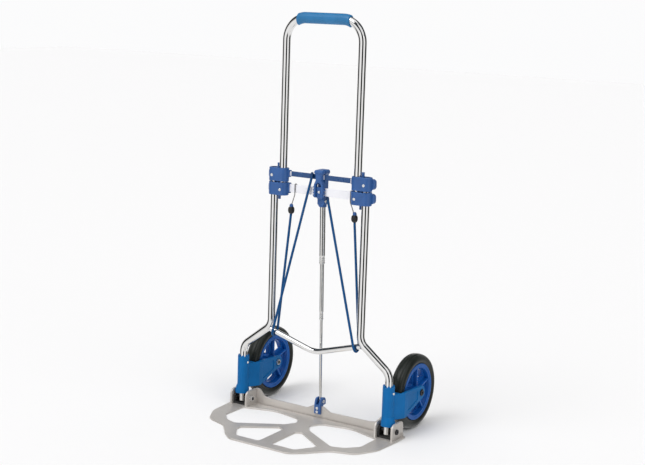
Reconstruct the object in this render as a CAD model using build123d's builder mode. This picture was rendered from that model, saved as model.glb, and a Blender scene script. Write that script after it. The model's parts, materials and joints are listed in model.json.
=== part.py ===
from build123d import *
from math import atan2, cos, pi, sin
import os

# Folding luggage cart with a telescopic handle, a folding toe plate and swing-in wheels.
# Millimetres, +Z up, +X to the right seen from the toe plate, +Y towards the wheels.
# The origin is the centre of the cart's footprint on the floor.

# ---- driving dimensions -------------------------------------------------------------
wheel_r = 90.0                  # outside radius of the tyre
wheel_trail = 115.0             # axle behind the plane of the side tubes
toe_reach = 227.0               # toe plate's front edge ahead of that plane
frame_y = (toe_reach - wheel_trail - wheel_r) / 2
tube_r = 9.5
tube_wall = 1.2
side_x = 127.0                  # side tubes, upper run
fork_x = 208.0                  # side tubes, lower run: the wheels' swing axes
handle_x = 103.5
handle_top_z = 963.0
handle_corner_r = 52.0
upper_bend_z = 220.0
lower_bend_z = 157.0
side_bend_r = 34.0
slide_gap = 0.1                 # radial play of a tube in its guide bush
shaft_gap = 0.05                # radial play of a bolt or pin in a turning joint

# toe plate and its hinge
plate_t = 4.0
hinge_z = 22.0
hinge_bolt_r = 4.0
lug_gap = 40.4                  # between the two lugs of a pair
lug_t = 4.5
flange_y = frame_y + 26.0       # front face of the upright rear flange
flange_t = 4.0
tube_foot_z = 13.5
link_rivet_z = (18.5, 28.0)
link_crest_z = 32.0             # flange's top behind the link
link_pad_t = 5.5                # link's tongue in front of the flange
link_slot_w = 8.0
link_half_w = 8.5
link_pin_r = 2.5

# slide blocks and crossbars
block_r = 14.0
upper_block_z = (576.6, 609.0)
lower_block_z = (543.5, 575.0)
bush_t = 1.5
peg_r, peg_length = 3.4, 12.0
peg_root = 1.4                  # how far the peg reaches into its block
peg_offset = 9.9                # from the axis of the riveted tube, towards the other one
bar_y = frame_y + 5.0
bar_t = 3.5
bar_end_x = 92.0
upper_bar_z = 596.0
upper_bar_h = 10.5
lower_bar_z = 561.5
lower_bar_h = 19.0
rivet_r = 2.0
upper_rivet_z = 591.0
lower_rivet_z = 557.5

# telescopic rod: its axis leans back from the socket to the link
link_y = frame_y + 34.0
link_z = 43.0
rod_top_y = frame_y + 15.8
rod_lean = atan2(link_y - rod_top_y, lower_bar_z - link_z)
rod_axis = Plane(
    origin=(0, link_y, link_z),
    x_dir=(1, 0, 0),
    z_dir=(0, -sin(rod_lean), cos(rod_lean)),
)
rod_upper_r, rod_mid_r, rod_lower_r = 7.0, 5.0, 3.4
rod_wall = 0.9
stage_1, stage_2, stage_3 = 206.0, 344.0, 557.0     # stage ends, measured up from the link
stage_overlap = 32.0
socket_bottom = 482.0
socket_r = 9.2
tongue_y = frame_y - 2.0        # front face of the socket's tongue
tongue_half_w = 7.1
head_top_z = 613.5
head_half_w, neck_half_w = 13.0, 8.4
latch_pin_y, latch_pin_z, latch_pin_r = frame_y + 0.5, 554.0, 1.5
stud_place = (frame_y + 12.7, 539.0)

# wheels and forks
wheel_half_w = 17.0
rim_r = 68.0
axle_r = 4.0
axle_y = frame_y + wheel_trail
fork_in, fork_out = 19.5, 26.0                      # faces of a fork arm from the wheel's mid-plane
fork_z = (47.5, 109.0)
arm_recess = 1.4
sleeve_r = 14.2
sleeve_z = (34.0, 130.0)
sleeve_pin_y, sleeve_pin_z, sleeve_pin_r = frame_y - 2.0, 113.0, 1.8
bush_r = 7.0

# cross tube and elastic cords
cross_r = 7.0
cross_end_z, cross_mid_z = 210.0, 173.0
cord_r = 3.0
clip_places = {"left": (-20.8, frame_y - 2, 596.0), "right": (16.8, frame_y + 10.8, 546.0)}
ball_places = {"left": (-79.0, frame_y + 2, 505.0), "right": (97.5, frame_y + 2, 505.0)}
hook_roots = {"left": -77.5, "right": 93.5}         # X of each wire hook at its ball
hook_places = {"left": -70.0, "right": 84.5}        # and where it goes over the bar

sides = ((-1, "left"), (1, "right"))
frame_plane = Plane.XZ.offset(-frame_y)             # local x is X, local y is Z, normal is -Y
os.makedirs("parts", exist_ok=True)


def finish(builder, label):
    """Label the finished piece and write it."""
    builder.part.label = label
    export_step(builder.part, f"parts/{label}.step")


def y_plane(y):
    """Upright plane at this Y; an extrusion of a positive amount goes towards -Y."""
    return Plane.XZ.offset(-y)


def x_plane(x):
    """Plane across X; local x is Y, local y is Z, and it extrudes towards +X."""
    return Plane.YZ.offset(x)


# ---- frame: side tubes, cross tube, upper blocks, upper crossbar ----------------------
def side_tube(side, name):
    """Bent side tube from the toe plate's hinge up into the upper block."""
    with BuildPart() as tube:
        with BuildLine(frame_plane) as run:
            FilletPolyline(
                (side * fork_x, tube_foot_z),
                (side * fork_x, lower_bend_z),
                (side * side_x, upper_bend_z),
                (side * side_x, upper_block_z[1] - 4),
                radius=side_bend_r,
            )
        with BuildSketch(Plane(run.line @ 0, z_dir=run.line % 0)):
            Circle(tube_r)
            Circle(tube_r - tube_wall, mode=Mode.SUBTRACT)
        sweep()
        with BuildSketch(x_plane(side * fork_x)):
            with Locations((frame_y, hinge_z)):
                Circle(hinge_bolt_r + shaft_gap)
        extrude(amount=2 * tube_r, both=True, mode=Mode.SUBTRACT)
        with BuildSketch(y_plane(frame_y)):
            with Locations((side * side_x, upper_rivet_z)):
                Circle(rivet_r)
        extrude(amount=2 * tube_r, mode=Mode.SUBTRACT)
    finish(tube, f"side_tube_{name}")


def cross_tube():
    """Shallow V between the side tubes; its ends are coped round them and welded."""
    end_x = side_x + 2.0
    with BuildPart() as tube:
        with BuildLine(frame_plane) as run:
            FilletPolyline(
                (-end_x, cross_end_z), (0, cross_mid_z), (end_x, cross_end_z), radius=70.0
            )
        with BuildSketch(Plane(run.line @ 0, z_dir=run.line % 0)):
            Circle(cross_r)
        sweep()
        for side, _ in sides:
            with BuildLine(frame_plane) as stile:
                FilletPolyline(
                    (side * fork_x, lower_bend_z),
                    (side * side_x, upper_bend_z),
                    (side * side_x, upper_bend_z + 90),
                    radius=side_bend_r,
                )
            with BuildSketch(Plane(stile.line @ 0, z_dir=stile.line % 0)):
                Circle(tube_r)
            sweep(mode=Mode.SUBTRACT)
    # only the stretch between the two side tubes is kept
    tube.part = Part(tube.part.solids().sort_by(SortBy.VOLUME)[-1].wrapped)
    finish(tube, "cross_tube")


def slide_block(side, label, z_span, bar_z, bar_h, held_x, guided_x, rivet_z):
    """Moulded block: riveted to the tube at held_x, with a guide bush round the other."""
    z0, z1 = z_span
    mid_x = (side_x + handle_x) / 2
    with BuildPart() as block:
        with BuildSketch(Plane.XY.offset(z0)):
            with Locations((side * mid_x, frame_y)):
                SlotCenterToCenter(side_x - handle_x, 2 * block_r)
        extrude(amount=z1 - z0)
        chamfer(block.edges().group_by(Axis.Z)[0] + block.edges().group_by(Axis.Z)[-1], 1.0)
        # inner collar that holds the crossbar's end
        with BuildSketch(x_plane(side * (bar_end_x - 5.5))):
            with Locations((bar_y, bar_z)):
                RectangleRounded(bar_t + 8, bar_h + 6, 3)
        extrude(amount=side * 9.5)
        # rounded ear at the rear outer corner
        with BuildSketch(y_plane(frame_y + 13)):
            with Locations((side * (side_x + 8), (z0 + z1) / 2)):
                RectangleRounded(23, z1 - z0 - 8, 7.5)
        extrude(amount=11)
        for x, r in ((held_x, tube_r), (guided_x, tube_r + slide_gap + bush_t)):
            with BuildSketch(Plane.XY.offset(z0 - 20)):
                with Locations((side * x, frame_y)):
                    Circle(r)
            extrude(amount=z1 - z0 + 40, mode=Mode.SUBTRACT)
        # stop peg beside the tube that slides past
        upwards = held_x == side_x
        toward_other = 1 if guided_x > held_x else -1
        with BuildSketch(Plane.XY.offset(z1 - peg_root if upwards else z0 + peg_root)):
            with Locations((side * (held_x + toward_other * peg_offset), frame_y + 1)):
                Circle(peg_r)
        extrude(amount=peg_length if upwards else -peg_length)
        with BuildSketch(x_plane(side * (bar_end_x - 12))):
            with Locations((bar_y, bar_z)):
                Rectangle(bar_t, bar_h)
        extrude(amount=side * 12, mode=Mode.SUBTRACT)
        with BuildSketch(y_plane(frame_y)):
            with Locations((side * held_x, rivet_z)):
                Circle(rivet_r)
        extrude(amount=2 * block_r, mode=Mode.SUBTRACT)
        # small drain grooves across the face that meets the other block
        groove_z = z0 if upwards else z1
        with BuildSketch(y_plane(frame_y + 30)):
            with Locations(*[(side * (mid_x + 9.0 * n), groove_z) for n in (-2, -1, 0, 1, 2)]):
                RectangleRounded(5.0, 2.4, 1.0)
        extrude(amount=60, mode=Mode.SUBTRACT)
    finish(block, label)


def guide_bushes(label, x, z_span):
    """Pair of nylon liners that a tube slides through."""
    with BuildPart() as bushes:
        with BuildSketch(Plane.XY.offset(z_span[0] + 1.5)):
            with Locations((-x, frame_y), (x, frame_y)):
                Circle(tube_r + slide_gap + bush_t)
                Circle(tube_r + slide_gap, mode=Mode.SUBTRACT)
        extrude(amount=z_span[1] - z_span[0] - 3)
    finish(bushes, label)


def block_rivets(label, x, z):
    """Domed rivets that fix a pair of blocks to their tubes."""
    face = frame_y - block_r
    with BuildPart() as rivets:
        for side, _ in sides:
            with BuildSketch(y_plane(frame_y - tube_r + tube_wall)):
                with Locations((side * x, z)):
                    Circle(rivet_r)
            extrude(amount=block_r - tube_r + tube_wall)
            with BuildSketch(y_plane(face)):
                with Locations((side * x, z)):
                    Circle(3.6)
            extrude(amount=1.8)
        chamfer(rivets.edges().group_by(Axis.Y)[0], 1.1)
    finish(rivets, label)


def crossbar(label, z, height, holes):
    """Flat bar between two blocks."""
    with BuildPart() as bar:
        with BuildSketch(x_plane(-bar_end_x)):
            with Locations((bar_y, z)):
                RectangleRounded(bar_t, height, 1.0)
        extrude(amount=2 * bar_end_x)
        if holes:
            with BuildSketch(y_plane(bar_y + bar_t)):
                with Locations(*holes):
                    Circle(rivet_r)
            extrude(amount=2 * bar_t, mode=Mode.SUBTRACT)
    finish(bar, label)


def bar_sleeves():
    """Two thin plastic sleeves on the upper crossbar, one each side of the latch."""
    inner, outer = 11.5, 82.0
    with BuildPart() as sleeves:
        for side, _ in sides:
            with BuildSketch(x_plane(side * inner)):
                with Locations((bar_y, upper_bar_z)):
                    RectangleRounded(bar_t + 1.2, upper_bar_h + 1.6, 1.5)
                    RectangleRounded(bar_t, upper_bar_h, 1.0, mode=Mode.SUBTRACT)
            extrude(amount=side * (outer - inner))
    finish(sleeves, "crossbar_sleeves")


# ---- toe plate --------------------------------------------------------------------
def toe_plate():
    """Plate with six spokes, an upright rear flange and two pairs of hinge lugs."""
    outline = ((240, 34), (240, -8), (234, -88), (206, -140), (150, -158), (112, -202), (82, -227))
    outline_r = (4, 60, 50, 40, 30, 30, 24)
    big_window = ((192, -22), (110, 4), (34, -12), (18, -40), (34, -67), (136, -131), (166, -121),
                  (192, -92))
    big_r = (7, 90, 20, 14, 10, 12, 30, 16)
    front_window = ((17, -100), (33, -93), (108, -146), (108, -160), (82, -200), (17, -200))
    front_r = (7, 10, 6, 14, 10, 7)
    with BuildPart() as plate:
        # the sheet
        points = [(x, frame_y + y) for x, y in outline]
        mirrored = [(-x, y) for x, y in reversed(points)]
        radii = list(outline_r) + list(reversed(outline_r))
        with BuildSketch():
            with BuildLine():
                FilletPolyline(*points, *mirrored, radius=radii, close=True)
            make_face()
        extrude(amount=plate_t)
        for window, radii in ((big_window, big_r), (front_window, front_r)):
            for side, _ in sides:
                with BuildSketch():
                    with BuildLine():
                        FilletPolyline(*[(side * x, frame_y + y) for x, y in window],
                                       radius=list(radii), close=True)
                    make_face()
                extrude(amount=plate_t, mode=Mode.SUBTRACT)
        rim = plate.faces().sort_by(Axis.Z)[-1].edges()
        fillet(rim, 1.2)
        # upright flange, higher beside the lugs and behind the link
        half = ((14, link_crest_z), (34, 21.5), (140, 22.5), (160, 25), (176, 42), (188, 42))
        with BuildSketch(y_plane(flange_y + flange_t)):
            with BuildLine():
                crest = list(half) + [(188, 14), (236, 14), (236, 0)]
                FilletPolyline(*[(-x, z) for x, z in reversed(crest)], *crest,
                               radius=[1, 5, 3, 3, 9, 12, 40, 14, 6,
                                       6, 14, 40, 12, 9, 3, 3, 5, 1], close=True)
            make_face()
        extrude(amount=flange_t)
        # groove along the flange's foot
        with BuildSketch(Plane.XY.offset(plate_t + 0.1)):
            with Locations((0, flange_y - 1.8)):
                RectangleRounded(2 * 172, 3.6, 1.5)
        extrude(amount=-2.7, mode=Mode.SUBTRACT)
        # hinge lugs, in pairs either side of each tube's foot
        for side, _ in sides:
            for inner in (-lug_gap / 2 - lug_t, lug_gap / 2):
                with BuildSketch(x_plane(side * fork_x + inner)):
                    with BuildLine():
                        FilletPolyline(
                            (frame_y - 19, 0.5), (frame_y - 19, 42), (frame_y + 31, 42),
                            (frame_y + 33.5, 0.5), radius=[1, 14, 10, 1], close=True)
                    make_face()
                extrude(amount=lug_t)
        with BuildSketch(x_plane(0)):
            with Locations((frame_y, hinge_z)):
                Circle(hinge_bolt_r)
        extrude(amount=fork_x + lug_gap, both=True, mode=Mode.SUBTRACT)
        with BuildSketch(y_plane(flange_y + 2 * flange_t)):
            with Locations(*[(0, z) for z in link_rivet_z]):
                Circle(rivet_r)
        extrude(amount=4 * flange_t, mode=Mode.SUBTRACT)
    finish(plate, "toe_plate")


def lug_liner(side, name):
    """Black channel between a pair of lugs; the tube's foot stops above its floor."""
    wall = 5.5
    half = lug_gap / 2
    with BuildPart() as liner:
        with BuildSketch(x_plane(side * fork_x - half)):
            with BuildLine():
                FilletPolyline(
                    (frame_y - 11.2, plate_t), (frame_y - 11.2, 25), (frame_y - 5, 33),
                    (frame_y + 17, 33), (frame_y + 17, plate_t),
                    radius=[1, 5, 5, 5, 1], close=True)
            make_face()
        extrude(amount=2 * half)
        with BuildSketch(x_plane(side * fork_x - half + wall)):
            with Locations((frame_y, 9 + 20)):
                Rectangle(80, 40)
        extrude(amount=2 * (half - wall), mode=Mode.SUBTRACT)
        with BuildSketch(x_plane(side * fork_x)):
            with Locations((frame_y, hinge_z)):
                Circle(hinge_bolt_r)
        extrude(amount=2 * half, both=True, mode=Mode.SUBTRACT)
    finish(liner, f"lug_liner_{name}")


def hinge_bolt(side, name):
    """Socket-head bolt through both lugs and the tube's foot."""
    outer = fork_x + lug_gap / 2 + lug_t
    inner = fork_x - lug_gap / 2 - lug_t - 6.5
    with BuildPart() as bolt:
        with BuildSketch(x_plane(side * inner)):
            with Locations((frame_y, hinge_z)):
                Circle(hinge_bolt_r)
        extrude(amount=side * (outer - inner))
        with BuildSketch(x_plane(side * outer)):
            with Locations((frame_y, hinge_z)):
                Circle(6.5)
        extrude(amount=side * 3.6)
        head = bolt.faces().sort_by(Axis.X)[-1 if side > 0 else 0]
        chamfer(head.edges(), 0.8)
        with BuildSketch(x_plane(side * (outer + 3.6))):
            with Locations((frame_y, hinge_z)):
                RegularPolygon(3.0, 6)
        extrude(amount=-side * 2.6, mode=Mode.SUBTRACT)
    finish(bolt, f"hinge_bolt_{name}")


def hex_nut(label, x, y, z, away, across, thick, bore):
    """Hexagon nut against a face at x; away is the side that it stands out to."""
    with BuildPart() as nut:
        with BuildSketch(x_plane(x)):
            with Locations((y, z)):
                RegularPolygon(across / 2, 6, major_radius=False)
                Circle(bore, mode=Mode.SUBTRACT)
        extrude(amount=away * thick)
    finish(nut, label)


# ---- link on the toe plate -----------------------------------------------------------
def rod_link():
    """Fork that straddles the flange; its slot is open above and in front."""
    foot, top, floor = 13.0, link_z + 9, 36.0
    front, heel, back = flange_y - link_pad_t, flange_y + flange_t + 5, link_y + 12
    flange_top = link_crest_z + 0.1
    with BuildPart() as link:
        # side profile: a front tongue, a bridge over the flange and the two cheeks
        with BuildSketch(x_plane(-link_half_w)):
            with BuildLine():
                FilletPolyline(
                    (front, foot), (front, floor), (link_y - 9, top), (link_y + 8, top),
                    (back, top - 8), (back, floor - 2), (heel, floor - 2), (heel, foot),
                    radius=[1.5, 6, 8, 6, 4, 2, 2, 1.5], close=True)
            make_face()
        extrude(amount=2 * link_half_w)
        # room for the flange
        with BuildSketch(x_plane(-link_half_w)):
            with Locations((flange_y + flange_t / 2, flange_top / 2)):
                Rectangle(flange_t, flange_top)
        extrude(amount=2 * link_half_w, mode=Mode.SUBTRACT)
        # slot for the rod's end
        with BuildSketch(x_plane(-link_slot_w / 2)):
            with Locations((link_y - 31, floor + 25)):
                Rectangle(80, 50)
        extrude(amount=link_slot_w, mode=Mode.SUBTRACT)
        with BuildSketch(x_plane(-link_half_w)):
            with Locations((link_y, link_z)):
                Circle(link_pin_r)
        extrude(amount=2 * link_half_w, mode=Mode.SUBTRACT)
        with BuildSketch(y_plane(flange_y + 20)):
            with Locations(*[(0, z) for z in link_rivet_z]):
                Circle(rivet_r)
        extrude(amount=40, mode=Mode.SUBTRACT)
    finish(link, "rod_link")


def link_pins():
    """Two headed stub pins, one in each cheek of the link."""
    with BuildPart() as pins:
        for side, _ in sides:
            with BuildSketch(x_plane(side * link_slot_w / 2)):
                with Locations((link_y, link_z)):
                    Circle(link_pin_r)
            extrude(amount=side * (link_half_w - link_slot_w / 2))
            with BuildSketch(x_plane(side * link_half_w)):
                with Locations((link_y, link_z)):
                    Circle(4.2)
            extrude(amount=side * 1.8)
    finish(pins, "link_pins")


def link_rivets():
    """Two rivets that clamp the link to the flange."""
    front = flange_y - link_pad_t
    back = flange_y + flange_t + 5
    with BuildPart() as rivets:
        for z in link_rivet_z:
            with BuildSketch(y_plane(back)):
                with Locations((0, z)):
                    Circle(rivet_r)
            extrude(amount=back - front)
            for y, amount in ((front, 1.5), (back, -1.5)):
                with BuildSketch(y_plane(y)):
                    with Locations((0, z)):
                        Circle(3.4)
                extrude(amount=amount)
    finish(rivets, "link_rivets")


# ---- handle ------------------------------------------------------------------------
def handle_tube():
    """U-shaped handle tube; its feet end inside the lower blocks."""
    foot = lower_block_z[0] + 3
    with BuildPart() as tube:
        with BuildLine(frame_plane) as run:
            FilletPolyline(
                (-handle_x, foot), (-handle_x, handle_top_z),
                (handle_x, handle_top_z), (handle_x, foot),
                radius=handle_corner_r,
            )
        with BuildSketch(Plane(run.line @ 0, z_dir=run.line % 0)):
            Circle(tube_r)
            Circle(tube_r - tube_wall, mode=Mode.SUBTRACT)
        sweep()
        with BuildSketch(y_plane(frame_y)):
            with Locations((-handle_x, lower_rivet_z), (handle_x, lower_rivet_z)):
                Circle(rivet_r)
        extrude(amount=2 * tube_r, mode=Mode.SUBTRACT)
    finish(tube, "handle_tube")


def handle_grip():
    """Moulded grip round the top bar, reaching a little way into the corners."""
    reach = 71.0
    with BuildPart() as grip:
        with BuildLine(frame_plane) as run:
            FilletPolyline(
                (-handle_x, handle_top_z - handle_corner_r), (-handle_x, handle_top_z),
                (handle_x, handle_top_z), (handle_x, handle_top_z - handle_corner_r),
                radius=handle_corner_r - 0.01,
            )
        with BuildSketch(Plane(run.line @ 0, z_dir=run.line % 0)):
            Circle(13.0)
            Circle(tube_r, mode=Mode.SUBTRACT)
        sweep()
        with Locations((0, frame_y, handle_top_z)):
            Box(2 * reach, 60, 90, mode=Mode.INTERSECT)
        for side, _ in sides:
            end = grip.faces().sort_by(Axis.X)[-1 if side > 0 else 0]
            chamfer(end.edges().sort_by(Edge.length)[-1], 1.2)
    finish(grip, "handle_grip")


def rod_socket():
    """Socket on the lower crossbar: a tower for the rod behind, a tongue in front."""
    bar_front, bar_back = bar_y - bar_t / 2, bar_y + bar_t / 2
    tower_front, tower_back = bar_back + 0.35, frame_y + 24
    bar_foot = lower_bar_z - lower_bar_h / 2
    with BuildPart() as socket:
        # tube that the rod slides in
        with BuildSketch(rod_axis.offset(socket_bottom)):
            Circle(socket_r)
        extrude(amount=stage_3 + 6 - socket_bottom)
        # tower behind the bars, with the rear half of the head
        with BuildSketch(y_plane(tower_back)):
            with BuildLine():
                FilletPolyline(
                    (-socket_r, 530), (-socket_r, 601), (-head_half_w, 606),
                    (-head_half_w, head_top_z), (head_half_w, head_top_z),
                    (head_half_w, 606), (socket_r, 601), (socket_r, 530),
                    radius=[2, 5, 3, 5, 5, 3, 5, 2], close=True)
            make_face()
        extrude(amount=tower_back - tower_front)
        # nothing of the tower may reach the two crossbars
        with BuildSketch(y_plane(tower_front)):
            with Locations((0, bar_foot + 50)):
                Rectangle(60, 100)
        extrude(amount=30, mode=Mode.SUBTRACT)
        # saddle under the lower bar and the tongue in front of it
        with BuildSketch(x_plane(-tongue_half_w)):
            with BuildLine():
                Polyline(
                    (tongue_y, 548.5), (tongue_y, 573), (bar_front, 573), (bar_front, bar_foot),
                    (frame_y + 12, bar_foot), (frame_y + 12, 527), (frame_y + 8, 527),
                    (frame_y + 8, 540), close=True)
            make_face()
        extrude(amount=2 * tongue_half_w)
        # bore for the rod, open to the front above the saddle
        with BuildSketch(rod_axis.offset(socket_bottom - 5)):
            Circle(rod_upper_r + slide_gap)
        extrude(amount=stage_3 + 2 - socket_bottom + 5, mode=Mode.SUBTRACT)
        with BuildSketch(y_plane(frame_y + 14)):
            with Locations((0, 580)):
                Rectangle(6, 56)
        extrude(amount=8, mode=Mode.SUBTRACT)
        with BuildSketch(x_plane(0)):
            with Locations((latch_pin_y, latch_pin_z)):
                Circle(latch_pin_r)
        extrude(amount=20, both=True, mode=Mode.SUBTRACT)
        with BuildSketch(x_plane(7.2)):
            with Locations(stud_place):
                Circle(rivet_r)
        extrude(amount=10, mode=Mode.SUBTRACT)
        with BuildSketch(y_plane(frame_y + 6)):
            with Locations((0, lower_bar_z)):
                Circle(rivet_r)
        extrude(amount=20, mode=Mode.SUBTRACT)
    finish(socket, "rod_socket")


def cord_stud():
    """Headed stud in the socket's right wall, beside the right cord's clip."""
    y, z = stud_place
    with BuildPart() as stud:
        with BuildSketch(x_plane(7.2)):
            with Locations((y, z)):
                Circle(rivet_r)
        extrude(amount=2.2)
        with BuildSketch(x_plane(9.4)):
            with Locations((y, z)):
                Circle(3.8)
        extrude(amount=2.6)
        chamfer(stud.edges().group_by(Axis.X)[-1], 0.9)
    finish(stud, "cord_stud")


def socket_rivet():
    """Rivet through the tongue and the lower crossbar."""
    with BuildPart() as rivet:
        with BuildSketch(y_plane(bar_y + bar_t / 2)):
            with Locations((0, lower_bar_z)):
                Circle(rivet_r)
        extrude(amount=bar_y + bar_t / 2 - tongue_y)
        with BuildSketch(y_plane(tongue_y)):
            with Locations((0, lower_bar_z)):
                Circle(3.4)
        extrude(amount=1.5)
        chamfer(rivet.edges().group_by(Axis.Y)[0], 0.9)
    finish(rivet, "socket_rivet")


def latch_lever():
    """Front half of the head: a T-shaped thumb lever that straddles the tongue."""
    back = bar_y - bar_t / 2 - 0.35
    half = ((head_half_w, 548), (head_half_w, 578), (neck_half_w, 588), (neck_half_w, 601),
            (head_half_w, 606), (head_half_w, head_top_z))
    with BuildPart() as lever:
        with BuildSketch(y_plane(back)):
            with BuildLine():
                FilletPolyline(
                    *[(-x, z) for x, z in half], *reversed(half),
                    radius=[3, 8, 10, 5, 3, 6, 6, 3, 5, 10, 8, 3], close=True)
            make_face()
        extrude(amount=9.5)
        front = lever.faces().sort_by(Axis.Y)[0]
        fillet(front.edges(), 2.2)
        # the arch that the tongue shows through
        with BuildSketch(y_plane(back)):
            with Locations((0, 556)):
                Rectangle(15.2, 40)
            with Locations((0, 576)):
                Circle(7.6)
        extrude(amount=20, mode=Mode.SUBTRACT)
        # thumb ledge along the top
        with BuildSketch(x_plane(-10.5)):
            with BuildLine():
                FilletPolyline(
                    (back - 7, 604), (back - 11.5, 607), (back - 11.5, 610), (back - 7, 612.5),
                    radius=[1, 1.2, 1.2, 1], close=True)
            make_face()
        extrude(amount=21)
        # finger ribs on both flanks
        with BuildSketch(y_plane(back - 1)):
            for side, _ in sides:
                with Locations(*[(side * (head_half_w + 0.6), z) for z in (573, 566, 559, 552)]):
                    Rectangle(3.6, 2.4)
        extrude(amount=6)
        # pocket for the return spring and the pivot holes
        with BuildSketch(x_plane(-11.4)):
            with Locations((latch_pin_y, latch_pin_z)):
                Circle(3.4)
        extrude(amount=5, mode=Mode.SUBTRACT)
        with BuildSketch(x_plane(0)):
            with Locations((latch_pin_y, latch_pin_z)):
                Circle(latch_pin_r + shaft_gap)
        extrude(amount=20, both=True, mode=Mode.SUBTRACT)
    finish(lever, "latch_lever")


def latch_pin():
    """Pivot pin of the latch lever."""
    with BuildPart() as pin:
        with BuildSketch(x_plane(-12.6)):
            with Locations((latch_pin_y, latch_pin_z)):
                Circle(latch_pin_r)
        extrude(amount=25.2)
    finish(pin, "latch_pin")


def latch_spring():
    """Return spring coiled round the pivot pin, in the lever's pocket."""
    wire_r, coil_r = 0.4, 2.3
    with BuildPart() as spring:
        with BuildLine() as coil:
            Helix(pitch=1.0, height=2.8, radius=coil_r,
                  center=(-10.9, latch_pin_y, latch_pin_z), direction=(1, 0, 0))
        with BuildSketch(Plane(coil.line @ 0, z_dir=coil.line % 0)):
            Circle(wire_r)
        sweep(is_frenet=True)
    finish(spring, "latch_spring")


# ---- telescopic rod: each stage is turned about the rod's axis --------------------------
def rod_tube(label, bottom, top, outer, lip, shoulder):
    """One tubular stage: bottom end rolled in to lip, top end flared to shoulder."""
    inner = outer - rod_wall
    with BuildPart() as stage:
        for z0, z1, r_out, r_in in (
            (bottom, bottom + 6, outer, lip),
            (bottom + 6, top - 4, outer, inner),
            (top - 4, top, shoulder, inner),
        ):
            with BuildSketch(rod_axis.offset(z0)):
                Circle(r_out)
                Circle(r_in, mode=Mode.SUBTRACT)
            extrude(amount=z1 - z0)
    finish(stage, label)


def rod_lower():
    """Solid lowest stage with a rounded end that sits in the link."""
    top = stage_1 + stage_overlap
    with BuildPart() as stage:
        with BuildSketch(rod_axis.offset(-1.5)):
            Circle(rod_lower_r)
        extrude(amount=top + 1.5)
        with BuildSketch(rod_axis.offset(top - 4)):
            Circle(rod_mid_r - rod_wall - slide_gap)
        extrude(amount=4)
        with Locations(rod_axis.offset(-1.5)):
            Sphere(rod_lower_r)
    finish(stage, "rod_lower")


# ---- forks and wheels -------------------------------------------------------------------
def fork(side, name):
    """Wheel fork: a sleeve that turns on the side tube, a gusset and two arms."""
    cx = side * fork_x
    with BuildPart() as body:
        # gusset and arms seen from above
        with BuildSketch(Plane.XY.offset(fork_z[0] - 5)):
            with BuildLine():
                Polyline(
                    (cx - 11, frame_y), (cx - 11, frame_y + 2), (cx - fork_out, frame_y + 34),
                    (cx - fork_out, axle_y + 18), (cx + fork_out, axle_y + 18),
                    (cx + fork_out, frame_y + 34), (cx + 11, frame_y + 2), (cx + 11, frame_y),
                    close=True)
            make_face()
        extrude(amount=80)
        # seen from the side: deep at the sleeve, tapering to the axle boss
        with BuildSketch(x_plane(cx - fork_out)) as profile:
            with BuildLine():
                FilletPolyline(
                    (frame_y, fork_z[0]), (frame_y + 40, fork_z[0]),
                    (axle_y + 9, wheel_r - 13), (axle_y + 5, wheel_r + 15.8),
                    (frame_y + 48, fork_z[1]), (frame_y, fork_z[1]),
                    radius=[1, 9, 2, 2, 30, 1], close=True)
            make_face()
            with Locations((axle_y, wheel_r)):
                Circle(16.5)
        extrude(amount=2 * fork_out, mode=Mode.INTERSECT)
        # room for the wheel
        with BuildSketch(x_plane(cx - fork_in)):
            with Locations((axle_y, wheel_r)):
                Circle(wheel_r + 3)
        extrude(amount=2 * fork_in, mode=Mode.SUBTRACT)
        # axle bosses inside the arms
        for face in (-fork_in, fork_in):
            with BuildSketch(x_plane(cx + face)):
                with Locations((axle_y, wheel_r)):
                    Circle(9)
            extrude(amount=-face / fork_in * (fork_in - wheel_half_w - 0.3))
        # plain recess with a raised border on each arm, and a counterbore for the bolt
        for face in (-fork_out, fork_out):
            with BuildSketch(x_plane(cx + face)):
                with BuildLine():
                    FilletPolyline(
                        (frame_y + 47, 59), (frame_y + 97, 76.5), (frame_y + 97, 99),
                        (frame_y + 47, 101.5), radius=[5, 4, 4, 4], close=True)
                make_face()
                with Locations((axle_y, wheel_r)):
                    Circle(9.2)
            extrude(amount=-face / fork_out * arm_recess, mode=Mode.SUBTRACT)
        # sleeve with a cam skirt that leans outwards
        with BuildSketch(Plane.XY.offset(sleeve_z[0])):
            with Locations((cx, frame_y)):
                Circle(sleeve_r)
        extrude(amount=sleeve_z[1] - sleeve_z[0])
        with BuildSketch(Plane.XY.offset(sleeve_z[0])):
            with Locations((cx + side * 2, frame_y)):
                Circle(17.2)
        with BuildSketch(Plane.XY.offset(sleeve_z[0] + 8)):
            with Locations((cx + side * 2, frame_y)):
                Circle(16.8)
        with BuildSketch(Plane.XY.offset(sleeve_z[0] + 22)):
            with Locations((cx, frame_y)):
                Circle(sleeve_r)
        loft()
        # crown of scallops round the top
        with Locations((cx, frame_y, sleeve_z[1])):
            with PolarLocations(sleeve_r - 2, 6, start_angle=30):
                Cylinder(4.2, 9, rotation=(0, 90, 0), mode=Mode.SUBTRACT)
        with BuildSketch(Plane.XY.offset(sleeve_z[0] - 1)):
            with Locations((cx, frame_y)):
                Circle(tube_r + slide_gap)
        extrude(amount=sleeve_z[1], mode=Mode.SUBTRACT)
        with BuildSketch(x_plane(cx)):
            with Locations((axle_y, wheel_r)):
                Circle(axle_r)
        extrude(amount=2 * fork_out, both=True, mode=Mode.SUBTRACT)
        with BuildSketch(x_plane(cx + tube_r)):
            with Locations((sleeve_pin_y, sleeve_pin_z)):
                Circle(sleeve_pin_r)
        extrude(amount=sleeve_r, mode=Mode.SUBTRACT)
    finish(body, f"fork_{name}")


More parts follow.
